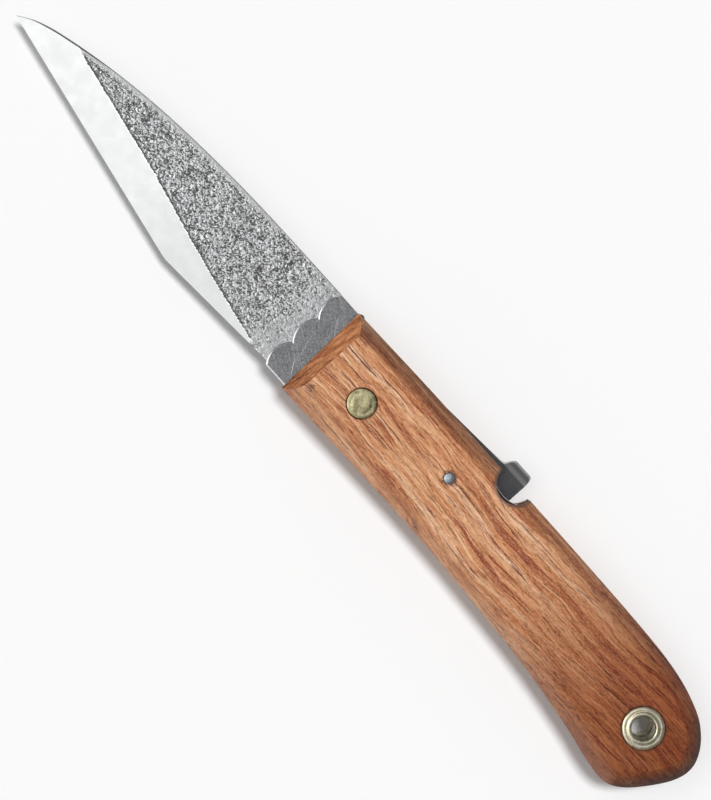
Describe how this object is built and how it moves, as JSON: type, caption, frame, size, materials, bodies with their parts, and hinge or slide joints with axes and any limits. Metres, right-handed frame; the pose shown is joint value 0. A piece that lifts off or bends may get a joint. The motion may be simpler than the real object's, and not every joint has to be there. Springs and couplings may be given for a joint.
{
  "type": "folding carving knife",
  "caption": "Folding woodcarving knife, open: single-bevel hammered blade, steel liners with scalloped bolsters, wooden scales, a locking leaf with a thumb tab and a lanyard eyelet.",
  "frame": {"origin": "on the surface that the knife lies on, below the middle of its box; the pivot's axis is at x = 3.495 mm, y = -0.8 mm", "axes": "+X from the blade's tip to the handle's butt, +Y from the belly and cutting edge to the back, +Z through the thickness, from the far scale to the near one"},
  "size_m": [0.219, 0.032, 0.0162],
  "materials": {
    "blade_steel": "ground bevel, hammered flat",
    "scale_wood": "oiled red-brown hardwood with long dark streaks",
    "liner_steel": "finely ground",
    "leaf_steel": "dark spring steel",
    "rivet_brass": "peened, slightly dull",
    "washer_bronze": "plain",
    "pin_steel": "polished",
    "eyelet_brass": "rolled, pale brass"
  },
  "bodies": {
    "handle": {"near_scale": "scale_wood", "far_scale": "scale_wood", "near_liner": "liner_steel", "far_liner": "liner_steel", "back_spacer": "liner_steel", "pivot_rivet": "rivet_brass", "near_washer": "washer_bronze", "far_washer": "washer_bronze", "stop_pin": "leaf_steel", "near_scale_pin": "pin_steel", "far_scale_pin": "pin_steel", "spacer_pins": "pin_steel", "near_eyelet": "eyelet_brass", "far_eyelet": "eyelet_brass"},
    "blade": {"blade": "blade_steel"},
    "lock_leaf": {"lock_leaf": "leaf_steel"}
  },
  "joints": [
    {"name": "blade_fold", "type": "hinge", "parent": "handle", "child": "blade", "pos_m": [0.00349, -0.0008, 0.00785], "axis": [0, 0, 1], "range_deg": [0, 177.5]},
    {"name": "leaf_press", "type": "hinge", "parent": "handle", "child": "lock_leaf", "pos_m": [0.0475, 0.0077, 0.00505], "axis": [0, 1, 0], "range_deg": [0, 2], "stiffness_Nm_per_rad": 2, "springref_deg": 2.01}
  ]
}
